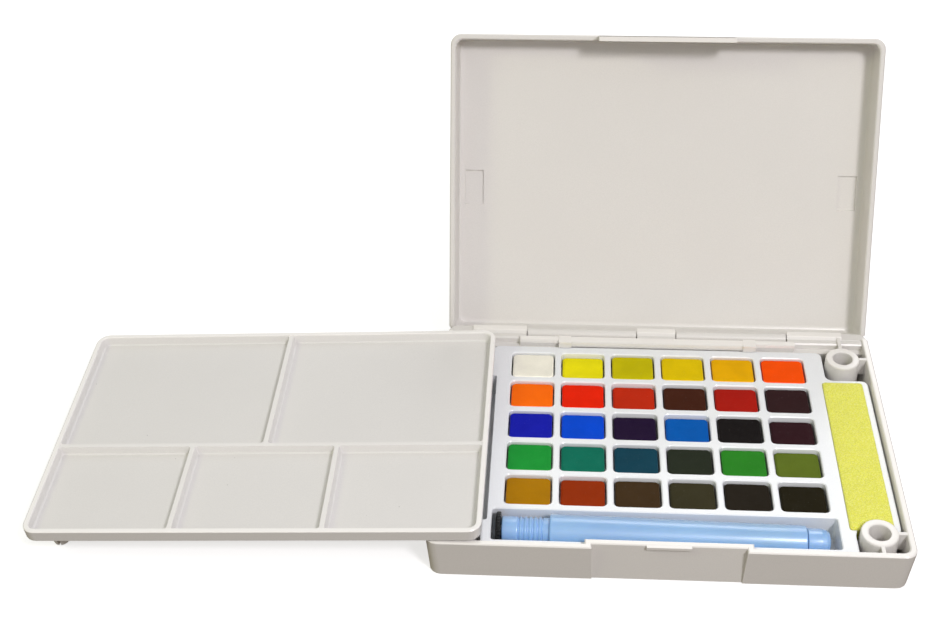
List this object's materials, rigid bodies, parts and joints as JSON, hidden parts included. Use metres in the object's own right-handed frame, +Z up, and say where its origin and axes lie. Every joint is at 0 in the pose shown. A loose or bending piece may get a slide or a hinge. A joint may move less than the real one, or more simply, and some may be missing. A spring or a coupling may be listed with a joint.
{
  "type": "watercolor pan set",
  "caption": "Shallow plastic paint case, open, with hinged lid, moulded tray of paint cakes, sponge, short water brush and a plug-in mixing palette at the side.",
  "frame": {"origin": "centre of the case's flat underside, on the surface it stands on", "axes": "+X to the right along the hinge line, +Y to the rear towards the hinge, +Z up"},
  "size_m": [0.2917, 0.1713, 0.1176],
  "materials": {
    "case_plastic": "fine satin moulded polypropylene, warm off-white",
    "insert_plastic": "smooth moulded polystyrene, cool grey-white",
    "palette_plastic": "fine satin moulded plastic, off-white",
    "sponge_foam": "fine-pored open-cell foam, lemon yellow",
    "brush_blue": "glossy translucent light-blue plastic",
    "collar_black": "glossy black moulded plastic",
    "ferrule_plastic": "smooth pale grey plastic",
    "bristle_white": "white synthetic hair",
    "valve_white": "porous white plastic",
    "paint_white": "dry pressed watercolour paint, faint sheen",
    "paint_lemon_yellow": "dry pressed watercolour paint, faint sheen",
    "paint_olive_yellow": "dry pressed watercolour paint, faint sheen",
    "paint_mid_yellow": "dry pressed watercolour paint, faint sheen",
    "paint_deep_yellow": "dry pressed watercolour paint, faint sheen",
    "paint_orange": "dry pressed watercolour paint, faint sheen",
    "paint_light_orange": "dry pressed watercolour paint, faint sheen",
    "paint_vermilion": "dry pressed watercolour paint, faint sheen",
    "paint_brick_red": "dry pressed watercolour paint, faint sheen",
    "paint_red_brown": "dry pressed watercolour paint, faint sheen",
    "paint_crimson": "dry pressed watercolour paint, faint sheen",
    "paint_plum": "dry pressed watercolour paint, faint sheen",
    "paint_ultramarine": "dry pressed watercolour paint, faint sheen",
    "paint_cobalt_blue": "dry pressed watercolour paint, faint sheen",
    "paint_violet": "dry pressed watercolour paint, faint sheen",
    "paint_cerulean_blue": "dry pressed watercolour paint, faint sheen",
    "paint_blue_black": "dry pressed watercolour paint, faint sheen",
    "paint_purple_brown": "dry pressed watercolour paint, faint sheen",
    "paint_light_green": "dry pressed watercolour paint, faint sheen",
    "paint_viridian": "dry pressed watercolour paint, faint sheen",
    "paint_blue_green": "dry pressed watercolour paint, faint sheen",
    "paint_dark_green": "dry pressed watercolour paint, faint sheen",
    "paint_mid_green": "dry pressed watercolour paint, faint sheen",
    "paint_sap_green": "dry pressed watercolour paint, faint sheen",
    "paint_ochre": "dry pressed watercolour paint, faint sheen",
    "paint_burnt_sienna": "dry pressed watercolour paint, faint sheen",
    "paint_umber": "dry pressed watercolour paint, faint sheen",
    "paint_sepia": "dry pressed watercolour paint, faint sheen",
    "paint_grey_black": "dry pressed watercolour paint, faint sheen",
    "paint_ink_black": "dry pressed watercolour paint, faint sheen"
  },
  "bodies": {
    "case": {"base_case": "case_plastic", "insert_tray": "insert_plastic", "cake_r1_c1_white": "paint_white", "cake_r1_c2_lemon_yellow": "paint_lemon_yellow", "cake_r1_c3_olive_yellow": "paint_olive_yellow", "cake_r1_c4_mid_yellow": "paint_mid_yellow", "cake_r1_c5_deep_yellow": "paint_deep_yellow", "cake_r1_c6_orange": "paint_orange", "cake_r2_c1_light_orange": "paint_light_orange", "cake_r2_c2_vermilion": "paint_vermilion", "cake_r2_c3_brick_red": "paint_brick_red", "cake_r2_c4_red_brown": "paint_red_brown", "cake_r2_c5_crimson": "paint_crimson", "cake_r2_c6_plum": "paint_plum", "cake_r3_c1_ultramarine": "paint_ultramarine", "cake_r3_c2_cobalt_blue": "paint_cobalt_blue", "cake_r3_c3_violet": "paint_violet", "cake_r3_c4_cerulean_blue": "paint_cerulean_blue", "cake_r3_c5_blue_black": "paint_blue_black", "cake_r3_c6_purple_brown": "paint_purple_brown", "cake_r4_c1_light_green": "paint_light_green", "cake_r4_c2_viridian": "paint_viridian", "cake_r4_c3_blue_green": "paint_blue_green", "cake_r4_c4_dark_green": "paint_dark_green", "cake_r4_c5_mid_green": "paint_mid_green", "cake_r4_c6_sap_green": "paint_sap_green", "cake_r5_c1_ochre": "paint_ochre", "cake_r5_c2_burnt_sienna": "paint_burnt_sienna", "cake_r5_c3_umber": "paint_umber", "cake_r5_c4_sepia": "paint_sepia", "cake_r5_c5_grey_black": "paint_grey_black", "cake_r5_c6_ink_black": "paint_ink_black"},
    "lid": {"lid": "case_plastic"},
    "palette": {"mixing_palette": "palette_plastic"},
    "brush": {"brush_barrel": "brush_blue", "brush_end_plug": "brush_blue"},
    "brush_head": {"brush_grip": "brush_blue", "brush_collar": "collar_black", "brush_ferrule": "ferrule_plastic", "brush_bristles": "bristle_white", "brush_valve": "valve_white"},
    "sponge": {"sponge": "sponge_foam"}
  },
  "joints": [
    {"name": "lid_hinge", "type": "hinge", "parent": "case", "child": "lid", "pos_m": [0, 0.055, 0.0138], "axis": [1, 0, 0], "range_deg": [0, 53]},
    {"name": "palette_lift", "type": "slide", "parent": "case", "child": "palette", "axis": [0, 0, 1], "range_m": [0, 0.01]},
    {"name": "brush_lift", "type": "slide", "parent": "case", "child": "brush", "axis": [0, 0, 1], "range_m": [0, 0.014]},
    {"name": "brush_head_twist", "type": "hinge", "parent": "brush", "child": "brush_head", "pos_m": [0, -0.0452, 0.0098], "axis": [0.9999, -0.0105, 0], "range_deg": [0, 360]},
    {"name": "sponge_lift", "type": "slide", "parent": "case", "child": "sponge", "axis": [0, 0, 1], "range_m": [0, 0.012]}
  ]
}
